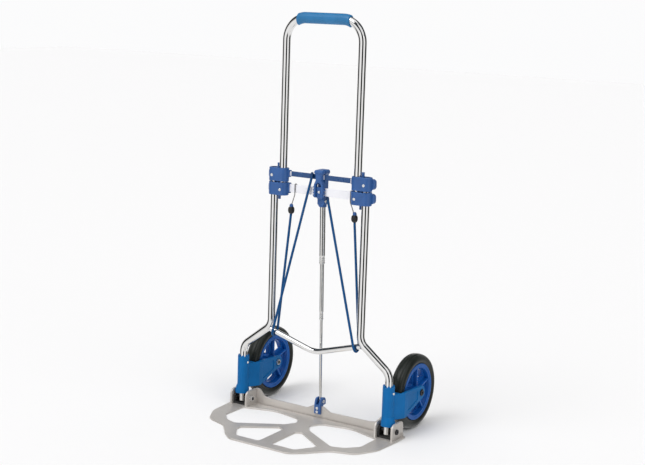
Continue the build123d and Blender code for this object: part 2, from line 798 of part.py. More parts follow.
def fork_pin(side, name):
    """Small set pin in the sleeve, on the same side of both forks."""
    face = side * fork_x + sleeve_r + 0.05
    with BuildPart() as pin:
        with BuildSketch(x_plane(face)):
            with Locations((sleeve_pin_y, sleeve_pin_z)):
                Circle(sleeve_pin_r)
        extrude(amount=-4)
        with BuildSketch(x_plane(face)):
            with Locations((sleeve_pin_y, sleeve_pin_z)):
                Circle(sleeve_pin_r + 0.9)
        extrude(amount=1.4)
    finish(pin, f"fork_pin_{name}")


def axle_bolt(side, name):
    """Axle bolt with its socket head on the outer arm."""
    cx = side * fork_x
    outer, inner = fork_out - arm_recess, -fork_out - 4
    with BuildPart() as bolt:
        with BuildSketch(x_plane(cx + side * inner)):
            with Locations((axle_y, wheel_r)):
                Circle(axle_r)
        extrude(amount=side * (outer - inner))
        with BuildSketch(x_plane(cx + side * outer)):
            with Locations((axle_y, wheel_r)):
                Circle(7.5)
        extrude(amount=side * 4.2)
        head = bolt.faces().sort_by(Axis.X)[-1 if side > 0 else 0]
        chamfer(head.edges(), 1.2)
        with BuildSketch(x_plane(cx + side * (outer + 4.2))):
            with Locations((axle_y, wheel_r)):
                RegularPolygon(3.2, 6)
        extrude(amount=-side * 3, mode=Mode.SUBTRACT)
    finish(bolt, f"axle_bolt_{name}")


def wheel_hub(side, name):
    """Moulded hub: rim, web with five windows, and a pair of ribs along each spoke."""
    cx = side * fork_x
    half = wheel_half_w - 1.5
    with BuildPart() as hub:
        for r_out, r_in, width in ((rim_r, rim_r - 4, half), (rim_r - 3, rim_r - 10, half - 1),
                                   (rim_r - 9, 10, 3.0), (14, bush_r, wheel_half_w)):
            with BuildSketch(x_plane(cx)):
                with Locations((axle_y, wheel_r)):
                    Circle(r_out)
                    Circle(r_in, mode=Mode.SUBTRACT)
            extrude(amount=width, both=True)
        # one deep fin along every spoke
        with BuildSketch(x_plane(cx)):
            with Locations((axle_y, wheel_r)):
                with PolarLocations(36, 5, start_angle=90):
                    Rectangle(50, 4.5)
        extrude(amount=half - 3, both=True)
        # windows between the spokes
        with BuildSketch(mode=Mode.PRIVATE) as window:
            with BuildLine():
                FilletPolyline((19, -4), (50, -24), (57, 0), (50, 24), (19, 4),
                               radius=[3, 5, 34, 5, 3], close=True)
            make_face()
        with BuildSketch(x_plane(cx)):
            with Locations((axle_y, wheel_r)):
                with PolarLocations(0, 5, start_angle=54):
                    add(window.sketch)
        extrude(amount=half, both=True, mode=Mode.SUBTRACT)
        # bore for the bush
        with BuildSketch(x_plane(cx)):
            with Locations((axle_y, wheel_r)):
                Circle(bush_r)
        extrude(amount=2 * wheel_half_w, both=True, mode=Mode.SUBTRACT)
    finish(hub, f"wheel_hub_{name}")


def axle_bush(side, name):
    """Bearing bush pressed into the hub; it turns on the axle bolt."""
    cx = side * fork_x
    with BuildPart() as bush:
        with BuildSketch(x_plane(cx)):
            with Locations((axle_y, wheel_r)):
                Circle(bush_r)
                Circle(axle_r + shaft_gap, mode=Mode.SUBTRACT)
        extrude(amount=wheel_half_w, both=True)
    finish(bush, f"axle_bush_{name}")


def tyre(side, name):
    """Solid rubber tyre with a crowned tread and a groove each side."""
    cx = side * fork_x
    half = wheel_half_w
    with BuildPart() as ring:
        with BuildSketch(Plane.XY.offset(wheel_r)) as section:
            with BuildLine():
                # a section through the top of the wheel: x across, y outwards from the axle
                edge = [(half - 3.5, rim_r), (half - 1.5, rim_r + 3), (half, rim_r + 9),
                        (half - 0.6, wheel_r - 7), (half - 5.5, wheel_r - 1.6)]
                left = [(cx - x, axle_y + y) for x, y in edge]
                right = [(cx + x, axle_y + y) for x, y in reversed(edge)]
                Polyline(*left)
                ThreePointArc(left[-1], (cx, axle_y + wheel_r), right[0])
                Polyline(*right, left[0])
            make_face()
        revolve(axis=Axis((cx, axle_y, wheel_r), (1, 0, 0)))
    finish(ring, f"tyre_{name}")


# ---- elastic cords ---------------------------------------------------------------------
def cord(name, side, top, ball):
    """Elastic cord from its clip, round the cross tube's end, up to its ball."""
    loop_x = 118.0
    loop_z = cross_mid_z + (cross_end_z - cross_mid_z) * loop_x / (side_x + 2)
    out = cross_r + cord_r + 0.7
    bottom = loop_z - out + 0.1
    points = [top, (side * loop_x, frame_y - out - 1, bottom),
              (side * (loop_x - 1), frame_y + out, bottom), ball]
    radii = [10.3, 10.3]
    with BuildPart() as rope:
        with BuildLine() as route:
            FilletPolyline(*points, radius=radii)
        with BuildSketch(Plane(route.line @ 0, z_dir=route.line % 0)):
            Circle(cord_r)
        sweep()
    finish(rope, f"bungee_{name}")
    length = sum(edge.length for edge in route.edges())
    share = rope.part.volume / (pi * cord_r ** 2 * length)
    print(f"bungee_{name}: radii {radii}, length {length:.1f}, volume ratio {share:.4f}")


def cord_ball(name, ball):
    """Moulded ball end that joins the cord to its wire hook."""
    x, y, z = ball
    with BuildPart() as knob:
        with Locations((x, y, z + 9)):
            Sphere(8.0)
        with Locations((x, y, z + 1)):
            Cylinder(5.4, 10)
        with Locations((x, y, z + 16)):
            Cylinder(3.0, 8)
        with Locations((x, y, z - 2)):
            Cylinder(cord_r, 10, mode=Mode.SUBTRACT)
    finish(knob, f"bungee_ball_{name}")


def cord_hook(name, root_x, hook_x, ball):
    """Wire hook from the ball's shoulder over the top of the lower crossbar."""
    _, y, z = ball
    over = lower_bar_z + lower_bar_h / 2 + 1.6
    front, back = bar_y - bar_t / 2 - 1.6, bar_y + bar_t / 2 + 1.6
    wire_r = 1.2
    with BuildPart() as hook:
        with BuildLine() as run:
            FilletPolyline(
                (root_x, y, z + 8), (root_x, y, z + 20), (hook_x, front, over - 26),
                (hook_x, front, over), (hook_x, back, over), (hook_x, back, over - 12),
                radius=[10, 10, 2.4, 2.4],
            )
        with BuildSketch(Plane(run.line @ 0, z_dir=run.line % 0)):
            Circle(wire_r)
        sweep()
    finish(hook, f"bungee_hook_{name}")


def cord_clip(name, top):
    """Black moulded clip that anchors the cord's other end beside the latch."""
    x, y, z = top
    with BuildPart() as clip:
        with Locations((x, y, z + 4)):
            Box(6.5, 7.0, 14)
        fillet(clip.edges().filter_by(Axis.Z), 2.0)
        chamfer(clip.edges().group_by(Axis.Z)[-1], 1.2)
    finish(clip, f"bungee_clip_{name}")


# ---- all pieces ----------------------------------------------------------------------------
for side, name in sides:
    side_tube(side, name)
    slide_block(side, f"upper_block_{name}", upper_block_z, upper_bar_z, upper_bar_h,
                side_x, handle_x, upper_rivet_z)
    slide_block(side, f"lower_block_{name}", lower_block_z, lower_bar_z, lower_bar_h,
                handle_x, side_x, lower_rivet_z)
    lug_liner(side, name)
    hinge_bolt(side, name)
    hex_nut(f"hinge_nut_{name}", side * (fork_x - lug_gap / 2 - lug_t), frame_y, hinge_z,
            -side, 13.0, 6.0, hinge_bolt_r)
    fork(side, name)
    fork_pin(side, name)
    axle_bolt(side, name)
    hex_nut(f"axle_nut_{name}", side * (fork_x - fork_out + arm_recess), axle_y, wheel_r,
            -side, 13.0, 4.5, axle_r)
    wheel_hub(side, name)
    axle_bush(side, name)
    tyre(side, name)
cross_tube()
crossbar("upper_crossbar", upper_bar_z, upper_bar_h, ())
crossbar("lower_crossbar", lower_bar_z, lower_bar_h, ((0, lower_bar_z),))
bar_sleeves()
guide_bushes("handle_bushes", handle_x, upper_block_z)
guide_bushes("side_bushes", side_x, lower_block_z)
block_rivets("upper_block_rivets", side_x, upper_rivet_z)
block_rivets("lower_block_rivets", handle_x, lower_rivet_z)
toe_plate()
rod_link()
link_pins()
link_rivets()
handle_tube()
handle_grip()
rod_socket()
socket_rivet()
cord_stud()
latch_lever()
latch_pin()
latch_spring()
rod_tube("rod_upper", stage_2, stage_3, rod_upper_r, rod_mid_r + slide_gap, rod_upper_r)
rod_tube("rod_mid", stage_1, stage_2 + stage_overlap, rod_mid_r, rod_lower_r + slide_gap,
         rod_upper_r - rod_wall - slide_gap)
rod_lower()

for side, name in sides:
    cord(name, side, clip_places[name], ball_places[name])
    cord_ball(name, ball_places[name])
    cord_hook(name, hook_roots[name], hook_places[name], ball_places[name])
    cord_clip(name, clip_places[name])
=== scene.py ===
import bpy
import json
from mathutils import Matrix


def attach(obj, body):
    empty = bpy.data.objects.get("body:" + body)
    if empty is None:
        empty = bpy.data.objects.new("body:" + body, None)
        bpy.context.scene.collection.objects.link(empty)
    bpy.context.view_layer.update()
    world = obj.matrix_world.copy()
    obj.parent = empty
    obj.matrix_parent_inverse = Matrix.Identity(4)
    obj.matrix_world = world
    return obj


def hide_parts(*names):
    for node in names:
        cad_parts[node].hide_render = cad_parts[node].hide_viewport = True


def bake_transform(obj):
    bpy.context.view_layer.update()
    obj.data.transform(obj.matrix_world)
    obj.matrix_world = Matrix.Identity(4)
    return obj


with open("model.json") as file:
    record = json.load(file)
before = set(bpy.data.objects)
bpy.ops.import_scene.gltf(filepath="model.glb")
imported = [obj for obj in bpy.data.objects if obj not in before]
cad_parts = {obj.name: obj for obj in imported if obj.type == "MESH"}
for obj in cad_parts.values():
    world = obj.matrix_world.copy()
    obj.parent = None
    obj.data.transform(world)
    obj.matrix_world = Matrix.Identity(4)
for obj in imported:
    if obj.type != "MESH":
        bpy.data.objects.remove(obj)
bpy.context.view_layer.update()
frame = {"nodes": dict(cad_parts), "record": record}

import json
import math

import bpy
from mathutils import Matrix, Vector

# The looks of a folding luggage cart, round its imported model. Metres, +Z up, in the model's frame.
nodes = frame["nodes"]
SIDES = ((-1, "left"), (1, "right"))


# ---- camera, floor and light ----------------------------------------------------------
# degrees: round from -Y towards +X, up from the floor, and about the line of sight
CAMERA_TURN, CAMERA_RISE, CAMERA_ROLL = 32.32, 10.38, 1.85
CAMERA_PLACE = (1.62375, -2.53614, 1.01857)
CAMERA_LENS, CAMERA_SENSOR = 72.73, 36.0

# name, direction of the light, softness in degrees, strength
SUNS = (("key", (0.35, 0.75, -1.0), 35, 1.15),
        ("fill", (-0.9, 0.35, -0.9), 50, 0.45))

# Place round the tent and brightness there. A place is a fraction of a turn from -X by way of -Y:
# 0.34 is the camera's side, with its dark slit, and 0.84 is the backdrop.
TENT_STRIPES = ((0.0, 0.20), (0.02, 0.01), (0.10, 0.01), (0.135, 0.60), (0.18, 0.95), (0.28, 0.95),
                (0.30, 0.0), (0.385, 0.0), (0.405, 0.95), (0.50, 0.90), (0.55, 0.01), (0.65, 0.01),
                (0.69, 0.45), (0.74, 0.90), (0.93, 0.90), (0.97, 0.60))
TENT_ROOF = (0.86, 0.86, 0.87, 1)
MIRRORED_FLOOR = (0.86, 0.86, 0.86, 1)
MIRRORED_BAND = (0.03, 0.035, 0.04, 1)
MIRRORED_ROOF = (0.95, 0.95, 0.96, 1)
BACKGROUND_WHITE = (0.97, 0.97, 0.975, 1)

FLOOR_HALF = 14.0
FLOOR_TONE = (0.865, 0.862, 0.86, 1)


def add_camera():
    """Camera above the toe plate's right-hand corner, rolled slightly."""
    turn, rise, roll = (math.radians(x) for x in (CAMERA_TURN, CAMERA_RISE, CAMERA_ROLL))
    back = Vector((math.sin(turn) * math.cos(rise), -math.cos(turn) * math.cos(rise),
                   math.sin(rise)))
    right = Vector((math.cos(turn), math.sin(turn), 0))
    up = back.cross(right)
    x = right * math.cos(roll) + up * math.sin(roll)
    y = up * math.cos(roll) - right * math.sin(roll)
    place = Matrix((x, y, back)).transposed().to_4x4()
    place.translation = CAMERA_PLACE
    data = bpy.data.cameras.new("camera")
    data.lens, data.sensor_width = CAMERA_LENS, CAMERA_SENSOR
    camera = bpy.data.objects.new("camera", data)
    bpy.context.scene.collection.objects.link(camera)
    camera.matrix_world = place
    bpy.context.scene.camera = camera


def add_sun(name, direction, softness, strength):
    """A soft light from far away, the same over the whole floor."""
    data = bpy.data.lights.new(name, "SUN")
    data.angle, data.energy = math.radians(softness), strength
    lamp = bpy.data.objects.new(name, data)
    bpy.context.scene.collection.objects.link(lamp)
    lamp.rotation_euler = Vector(direction).to_track_quat("-Z", "Y").to_euler()


def mix_colours(tree, factor, first, second):
    """Turn from the first colour to the second; each is a colour or a socket that gives one."""
    node = tree.nodes.new("ShaderNodeMix")
    node.data_type = "RGBA"
    tree.links.new(factor, node.inputs["Factor"])
    for socket, value in ((node.inputs["A"], first), (node.inputs["B"], second)):
        if isinstance(value, tuple):
            socket.default_value = value
        else:
            tree.links.new(value, socket)
    return node.outputs["Result"]


def add_stripes(tree, direction):
    """Bright and dark upright stripes all round the tent."""
    make, link = tree.nodes.new, tree.links.new
    angle = make("ShaderNodeMath")
    angle.operation = "ARCTAN2"
    link(direction.outputs["Y"], angle.inputs[0])
    link(direction.outputs["X"], angle.inputs[1])
    turn = make("ShaderNodeMath")
    turn.operation = "MULTIPLY_ADD"
    turn.inputs[1].default_value, turn.inputs[2].default_value = 1 / (2 * math.pi), 0.5
    link(angle.outputs[0], turn.inputs[0])
    ramp = make("ShaderNodeValToRGB")
    while len(ramp.color_ramp.elements) < len(TENT_STRIPES):
        ramp.color_ramp.elements.new(0.5)
    for element, (place, level) in zip(ramp.color_ramp.elements, TENT_STRIPES):
        element.position = place
        element.color = (level, level, level, 1)
    link(turn.outputs[0], ramp.inputs["Fac"])
    return ramp.outputs["Color"]


def add_world():
    """A light tent: bright in front and behind, dark at the sides and in a slit in front.

    Matt parts are lit by the stripes and a pale roof. Polished parts mirror a bright floor, the
    stripes, a dark band over them and a bright roof. The camera sees a plain white.
    """
    world = bpy.data.worlds.new("tent")
    bpy.context.scene.world = world
    world.use_nodes = True
    tree = world.node_tree
    make, link = tree.nodes.new, tree.links.new
    coords = make("ShaderNodeTexCoord")
    direction = make("ShaderNodeSeparateXYZ")
    link(coords.outputs["Generated"], direction.inputs[0])

    def rising(low, high, first, second):
        """Turn from first to second as the direction rises from low to high."""
        step = make("ShaderNodeMapRange")
        step.inputs["From Min"].default_value, step.inputs["From Max"].default_value = low, high
        link(direction.outputs["Z"], step.inputs["Value"])
        return mix_colours(tree, step.outputs["Result"], first, second)

    stripes = add_stripes(tree, direction)
    lighting = rising(0.35, 0.75, stripes, TENT_ROOF)
    mirrored = rising(-0.42, -0.26, MIRRORED_FLOOR, stripes)
    mirrored = rising(0.30, 0.40, mirrored, MIRRORED_BAND)
    mirrored = rising(0.90, 0.97, mirrored, MIRRORED_ROOF)
    rays = make("ShaderNodeLightPath")
    dome = mix_colours(tree, rays.outputs["Is Glossy Ray"], lighting, mirrored)
    dome = mix_colours(tree, rays.outputs["Is Camera Ray"], dome, BACKGROUND_WHITE)
    background = tree.nodes["Background"]
    link(dome, background.inputs["Color"])
    background.inputs["Strength"].default_value = 1.0


def add_floor():
    """A pale floor, which polished parts don't mirror: they mirror the tent instead."""
    mesh = bpy.data.meshes.new("floor")
    r = FLOOR_HALF
    mesh.from_pydata([(-r, -r, 0), (r, -r, 0), (r, r, 0), (-r, r, 0)], [], [(0, 1, 2, 3)])
    floor = bpy.data.objects.new("floor", mesh)
    bpy.context.scene.collection.objects.link(floor)
    mat = bpy.data.materials.new("floor")
    mat.use_nodes = True
    tree = mat.node_tree
    shader = tree.nodes["Principled BSDF"]
    shader.inputs["Base Color"].default_value = FLOOR_TONE
    shader.inputs["Roughness"].default_value = 0.9
    shader.inputs["Specular IOR Level"].default_value = 0.1
    rays = tree.nodes.new("ShaderNodeLightPath")
    clear = tree.nodes.new("ShaderNodeBsdfTransparent")
    mix = tree.nodes.new("ShaderNodeMixShader")
    tree.links.new(rays.outputs["Is Glossy Ray"], mix.inputs[0])
    tree.links.new(shader.outputs[0], mix.inputs[1])
    tree.links.new(clear.outputs[0], mix.inputs[2])
    tree.links.new(mix.outputs[0], tree.nodes["Material Output"].inputs["Surface"])
    mesh.materials.append(mat)


add_camera()
add_world()
for sun in SUNS:
    add_sun(*sun)
add_floor()
bpy.context.scene.view_settings.view_transform = "Standard"


# ---- materials ------------------------------------------------------------------------
NOISE_LOW, NOISE_HIGH = 0.3, 0.7        # the range that a noise texture mostly keeps to
LEAST_ROUGHNESS = 0.02
COAT_ROUGHNESS = 0.25
EDGE_FLAT, EDGE_ROUND = 0.99, 0.80      # how well the softened normal agrees with the flat one
EDGE_LIGHTER_SHARE = 0.75                        # share of the lighter edge colour on a sharp edge
GRAIN_DEPTH, STREAK_DEPTH, PIT_DEPTH, BRAID_DEPTH = 0.0004, 0.0003, 0.0006, 0.0004


def shade(colour, factor):
    """The colour made darker or lighter, with an alpha of 1."""
    return (*[min(1.0, c * factor) for c in colour], 1.0)


def surface(name, colour, rough, metallic=0.0, mottle=(14.0, 0.10), gloss=(30.0, 0.10),
            grain=(900.0, 0.10), streaks=None, edge=None, coat=0.0, specular=0.5, pits=None):
    """A surface with uneven colour and gloss, a fine grain, and softened edges of a lighter colour.

    mottle and gloss are (scale, spread); grain and pits are (scale, strength) of relief; streaks
    adds how the texture is stretched; edge is (radius, brightness) of the lighter colour along the
    edges.
    """
    mat = bpy.data.materials.new(name)
    mat.use_nodes = True
    tree = mat.node_tree
    make, link = tree.nodes.new, tree.links.new
    shader = tree.nodes["Principled BSDF"]
    shader.inputs["Metallic"].default_value = metallic
    shader.inputs["Coat Weight"].default_value = coat
    shader.inputs["Coat Roughness"].default_value = COAT_ROUGHNESS
    shader.inputs["Specular IOR Level"].default_value = specular
    coords = make("ShaderNodeTexCoord")

    def noise(scale, detail=4.0, stretch=None):
        texture = make("ShaderNodeTexNoise")
        texture.inputs["Scale"].default_value = scale
        texture.inputs["Detail"].default_value = detail
        if stretch:
            mapping = make("ShaderNodeMapping")
            mapping.inputs["Scale"].default_value = stretch
            link(coords.outputs["Object"], mapping.inputs["Vector"])
            link(mapping.outputs["Vector"], texture.inputs["Vector"])
        else:
            link(coords.outputs["Object"], texture.inputs["Vector"])
        return texture.outputs["Fac"]

    tones = make("ShaderNodeValToRGB")
    dark, light = tones.color_ramp.elements
    dark.position, light.position = NOISE_LOW, NOISE_HIGH
    dark.color, light.color = shade(colour, 1 - mottle[1]), shade(colour, 1 + mottle[1])
    link(noise(mottle[0], 6.0), tones.inputs["Fac"])
    base = tones.outputs["Color"]

    spread = make("ShaderNodeMapRange")
    spread.inputs["From Min"].default_value = NOISE_LOW
    spread.inputs["From Max"].default_value = NOISE_HIGH
    spread.inputs["To Min"].default_value = max(LEAST_ROUGHNESS, rough - gloss[1])
    spread.inputs["To Max"].default_value = rough + gloss[1]
    link(noise(gloss[0]), spread.inputs["Value"])
    link(spread.outputs["Result"], shader.inputs["Roughness"])

    normal = None
    if edge:
        bevel = make("ShaderNodeBevel")
        bevel.samples = 4
        bevel.inputs["Radius"].default_value = edge[0]
        normal = bevel.outputs["Normal"]
        flat = make("ShaderNodeNewGeometry")
        dot = make("ShaderNodeVectorMath")
        dot.operation = "DOT_PRODUCT"
        link(bevel.outputs["Normal"], dot.inputs[0])
        link(flat.outputs["Normal"], dot.inputs[1])
        # the colour is made lighter along sharp edges, where the softened normal turns away from the
        # flat one
        edge_lightening = make("ShaderNodeMapRange")
        edge_lightening.inputs["From Min"].default_value = EDGE_FLAT
        edge_lightening.inputs["From Max"].default_value = EDGE_ROUND
        edge_lightening.inputs["To Max"].default_value = EDGE_LIGHTER_SHARE
        link(dot.outputs["Value"], edge_lightening.inputs["Value"])
        base = mix_colours(tree, edge_lightening.outputs["Result"], base, shade(colour, edge[1]))
    link(base, shader.inputs["Base Color"])

    relief = [(noise(grain[0], 3.0), grain[1], GRAIN_DEPTH)]
    if streaks:
        relief.append((noise(streaks[0], 2.0, streaks[2]), streaks[1], STREAK_DEPTH))
    if pits:
        cells = make("ShaderNodeTexVoronoi")
        cells.inputs["Scale"].default_value = pits[0]
        link(coords.outputs["Object"], cells.inputs["Vector"])
        relief.append((cells.outputs["Distance"], pits[1], PIT_DEPTH))
    for height, strength, distance in relief:
        bump = make("ShaderNodeBump")
        bump.inputs["Strength"].default_value = strength
        bump.inputs["Distance"].default_value = distance
        link(height, bump.inputs["Height"])
        if normal:
            link(normal, bump.inputs["Normal"])
        normal = bump.outputs["Normal"]
    link(normal, shader.inputs["Normal"])
    return mat


def braid(name, colour, strands, pitch, rough):
    """Woven sheath: two families of strands that cross over and under, on the tube's UV map.

    strands is how many of each family there are round the tube, and pitch is their spacing along it.
    """
    mat = bpy.data.materials.new(name)
    mat.use_nodes = True
    tree = mat.node_tree
    make, link = tree.nodes.new, tree.links.new
    shader = tree.nodes["Principled BSDF"]
    shader.inputs["Roughness"].default_value = rough
    shader.inputs["Sheen Weight"].default_value = 0.12
    shader.inputs["Sheen Roughness"].default_value = 0.45
    shader.inputs["Specular IOR Level"].default_value = 0.2
    coords = make("ShaderNodeUVMap")
    split = make("ShaderNodeSeparateXYZ")
    link(coords.outputs["UV"], split.inputs[0])

    def maths(operation, first, second=0.0, third=0.0):
        node = make("ShaderNodeMath")
        node.operation = operation
        for socket, value in zip(node.inputs, (first, second, third)):
            if isinstance(value, float):
                socket.default_value = value
            else:
                link(value, socket)
        return node.outputs[0]

    around = maths("MULTIPLY", split.outputs["X"], 2 * math.pi * strands)
    along = maths("MULTIPLY", split.outputs["Y"], 2 * math.pi / pitch)
    rising = maths("SINE", maths("ADD", around, along))
    falling = maths("SINE", maths("SUBTRACT", around, along))
    weave = maths("MAXIMUM", rising, falling)
    # painted shade in the gaps between strands and a painted highlight on their crowns: the colour
    # follows the weave's height
    tones = make("ShaderNodeValToRGB")
    gap_painted_shade, crown_painted_highlight = tones.color_ramp.elements
    gap_painted_shade.position, crown_painted_highlight.position = 0.0, 0.9
    gap_painted_shade.color, crown_painted_highlight.color = shade(colour, 0.45), shade(colour, 1.25)
    flank = tones.color_ramp.elements.new(0.45)
    flank.color = shade(colour, 1.0)
    link(maths("MULTIPLY_ADD", weave, 0.5, 0.5), tones.inputs["Fac"])
    link(tones.outputs["Color"], shader.inputs["Base Color"])
    bump = make("ShaderNodeBump")
    bump.inputs["Strength"].default_value = 0.55
    bump.inputs["Distance"].default_value = BRAID_DEPTH
    link(weave, bump.inputs["Height"])
    link(bump.outputs["Normal"], shader.inputs["Normal"])
    return mat


# along a tube's or a bar's height the texture is stretched, so it runs in fine lines
ALONG_Z = (1, 1, 0.02)
ALONG_ROD = (1, 1, 0.03)

BLOCK_BLUE = (0.024, 0.100, 0.312)
FORK_BLUE = (0.001, 0.130, 0.375)
HUB_BLUE = (0.006, 0.098, 0.385)
GRIP_BLUE = (0.016, 0.175, 0.400)

SURFACES = {
    "chrome_tube": dict(colour=(0.87, 0.865, 0.86), rough=0.035, metallic=1.0, mottle=(40.0, 0.03),
                        gloss=(60.0, 0.012), grain=(2400.0, 0.012),
                        streaks=(1400.0, 0.025, ALONG_Z)),
    "rod_steel": dict(colour=(0.76, 0.755, 0.74), rough=0.12, metallic=1.0, mottle=(60.0, 0.04),
                      gloss=(80.0, 0.04), grain=(2200.0, 0.03),
                      streaks=(1800.0, 0.10, ALONG_ROD)),
    "block_plastic": dict(colour=BLOCK_BLUE, rough=0.42, mottle=(22.0, 0.10), gloss=(120.0, 0.07),
                          grain=(1600.0, 0.16), edge=(0.0012, 1.9), coat=0.08),
    "bar_aluminium": dict(colour=(0.93, 0.93, 0.97), rough=0.36, metallic=0.15,
                          mottle=(30.0, 0.03), gloss=(90.0, 0.06), grain=(1800.0, 0.05),
                          streaks=(520.0, 0.45, ALONG_Z), edge=(0.0006, 1.02)),
    "sleeve_plastic": dict(colour=(0.006, 0.060, 0.200), rough=0.30, mottle=(30.0, 0.10),
                           gloss=(90.0, 0.06), grain=(1400.0, 0.08), edge=(0.0006, 1.8),
                           coat=0.3),
    "nylon": dict(colour=(0.80, 0.80, 0.76), rough=0.40, mottle=(60.0, 0.04),
                  grain=(1500.0, 0.10)),
    "rivet_steel": dict(colour=(0.86, 0.86, 0.86), rough=0.28, metallic=0.9,
                        mottle=(200.0, 0.05), gloss=(300.0, 0.08), grain=(2600.0, 0.10),
                        edge=(0.0004, 1.1)),
    "spring_steel": dict(colour=(0.36, 0.35, 0.34), rough=0.32, metallic=1.0,
                         mottle=(200.0, 0.10), gloss=(300.0, 0.08), grain=(2600.0, 0.08)),
    "cast_plate": dict(colour=(0.67, 0.636, 0.60), rough=0.46, metallic=0.55, mottle=(9.0, 0.05),
                       gloss=(26.0, 0.08), grain=(1100.0, 0.22), pits=(700.0, 0.10),
                       edge=(0.0012, 1.22)),
    "grip_plastic": dict(colour=GRIP_BLUE, rough=0.46, mottle=(26.0, 0.08), gloss=(100.0, 0.07),
                         grain=(1300.0, 0.24), pits=(900.0, 0.22), edge=(0.0008, 1.5)),
    "black_liner": dict(colour=(0.016, 0.016, 0.017), rough=0.55, mottle=(60.0, 0.3),
                        grain=(1300.0, 0.25), edge=(0.0006, 2.5)),
    "black_bolt": dict(colour=(0.035, 0.035, 0.037), rough=0.34, metallic=0.6,
                       mottle=(120.0, 0.2), gloss=(200.0, 0.10), grain=(2200.0, 0.10),
                       edge=(0.0004, 2.6)),
    "fork_plastic": dict(colour=FORK_BLUE, rough=0.44, mottle=(20.0, 0.10), gloss=(110.0, 0.07),
                         grain=(1500.0, 0.18), edge=(0.0013, 1.5), specular=0.18),
    "hub_plastic": dict(colour=HUB_BLUE, rough=0.36, mottle=(20.0, 0.10), gloss=(110.0, 0.06),
                        grain=(1500.0, 0.12), edge=(0.0010, 1.8), coat=0.05, specular=0.3),
    "tyre_rubber": dict(colour=(0.0115, 0.0150, 0.0120), rough=0.40, mottle=(30.0, 0.22),
                        gloss=(60.0, 0.08), grain=(1300.0, 0.25), specular=0.4),
    "ball_plastic": dict(colour=(0.012, 0.012, 0.013), rough=0.45, mottle=(90.0, 0.2),
                         grain=(1500.0, 0.2), edge=(0.0006, 2.5)),
    "clip_plastic": dict(colour=(0.002, 0.042, 0.140), rough=0.42, mottle=(90.0, 0.2),
                         grain=(1500.0, 0.2), edge=(0.0006, 2.5)),
}
MATS = {name: surface(name, **settings) for name, settings in SURFACES.items()}
MATS["cord_fabric"] = braid("cord_fabric", (0.001, 0.066, 0.205), strands=8.0, pitch=0.0105,
                            rough=0.62)

for row in frame["record"]["subparts"]:
    node = nodes[row["node"]]
    node.data.materials.clear()
    node.data.materials.append(MATS[row["material_slot"]])


# ---- mesh helpers -----------------------------------------------------------------------
def add_piece(name, verts, faces, slots, body, stands_for=(), pick=None, uvs=None):
    """A shaded mesh piece that rides on a body; pick gives each face's material."""
    mesh = bpy.data.meshes.new(name)
    mesh.from_pydata([tuple(v) for v in verts], [], faces)
    for each in slots:
        mesh.materials.append(MATS[each])
    mesh.polygons.foreach_set("use_smooth", [True] * len(mesh.polygons))
    if pick:
        mesh.polygons.foreach_set("material_index", pick)
    if uvs:
        layer = mesh.uv_layers.new(name="UVMap")
        for polygon, corners in zip(mesh.polygons, uvs):
            for loop, uv in zip(polygon.loop_indices, corners):
                layer.data[loop].uv = uv
    mesh.validate()
    mesh.update()
    piece = bpy.data.objects.new(name, mesh)
    bpy.context.scene.collection.objects.link(piece)
    if body:
        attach(piece, body)
    if stands_for:
        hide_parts(*stands_for)
    return piece


def lathe(profile, steps, place, wave=None):
    """Verts and faces of a profile of (along, radius) turned about place's Z axis."""
    verts, faces = [], []
    for row, (along, radius) in enumerate(profile):
        for k in range(steps):
            turn = 2 * math.pi * k / steps
            r = radius * (wave(row, turn) if wave else 1.0)
            verts.append(place @ Vector((r * math.cos(turn), r * math.sin(turn), along)))
    for row in range(len(profile) - 1):
        for k in range(steps):
            a, b = row * steps + k, row * steps + (k + 1) % steps
            faces.append((a, b, b + steps, a + steps))
    return verts, faces


def cap(verts, faces, steps, place, low, high):
    """Close both ends of a lathed skin, at the heights low and high on place's Z axis."""
    last = len(verts) - steps
    verts += [place @ Vector((0, 0, low)), place @ Vector((0, 0, high))]
    for k in range(steps):
        faces.append((len(verts) - 2, (k + 1) % steps, k))
        faces.append((len(verts) - 1, last + k, last + (k + 1) % steps))


def route_of(points, resolution):
    """Points along the smooth line that these control points make."""
    curve = bpy.data.curves.new("route", "CURVE")
    curve.dimensions, curve.resolution_u = "3D", resolution
    spline = curve.splines.new("NURBS")
    spline.points.add(len(points) - 1)
    for each, place in zip(spline.points, points):
        each.co = (*place, 1)
    spline.order_u = 3
    spline.use_endpoint_u = True
    holder = bpy.data.objects.new("route", curve)
    line = bpy.data.meshes.new_from_object(holder)
    found = [v.co.copy() for v in line.vertices]
    bpy.data.objects.remove(holder)
    return found


def tube_skin(path, radius, steps):
    """Verts, faces and UVs of a closed tube along a path, with no twist."""
    verts, faces, uvs = [], [], []
    ahead = (path[1] - path[0]).normalized()
    side = ahead.orthogonal().normalized()
    run, runs = 0.0, []
    for i, point in enumerate(path):
        before, after = path[max(i - 1, 0)], path[min(i + 1, len(path) - 1)]
        ahead = (after - before).normalized()
        side = (side - ahead * side.dot(ahead)).normalized()
        over = ahead.cross(side)
        run += (point - before).length
        runs.append(run)
        for k in range(steps):
            turn = 2 * math.pi * k / steps
            verts.append(point + radius * (side * math.cos(turn) + over * math.sin(turn)))
    for i in range(len(path) - 1):
        for k in range(steps):
            a, b = i * steps + k, i * steps + (k + 1) % steps
            faces.append((a, b, b + steps, a + steps))
            low, high = k / steps, (k + 1) / steps
            uvs.append(((low, runs[i]), (high, runs[i]), (high, runs[i + 1]), (low, runs[i + 1])))
    last = len(verts) - steps
    faces.append(tuple(reversed(range(steps))))
    uvs.append([(0, 0)] * steps)
    faces.append(tuple(range(last, last + steps)))
    uvs.append([(0, 0)] * steps)
    return verts, faces, uvs


# ---- elastic cords -------------------------------------------------------------------------
FRAME_Y = 0.011                         # the plane of the side tubes
CORD_R = 0.003
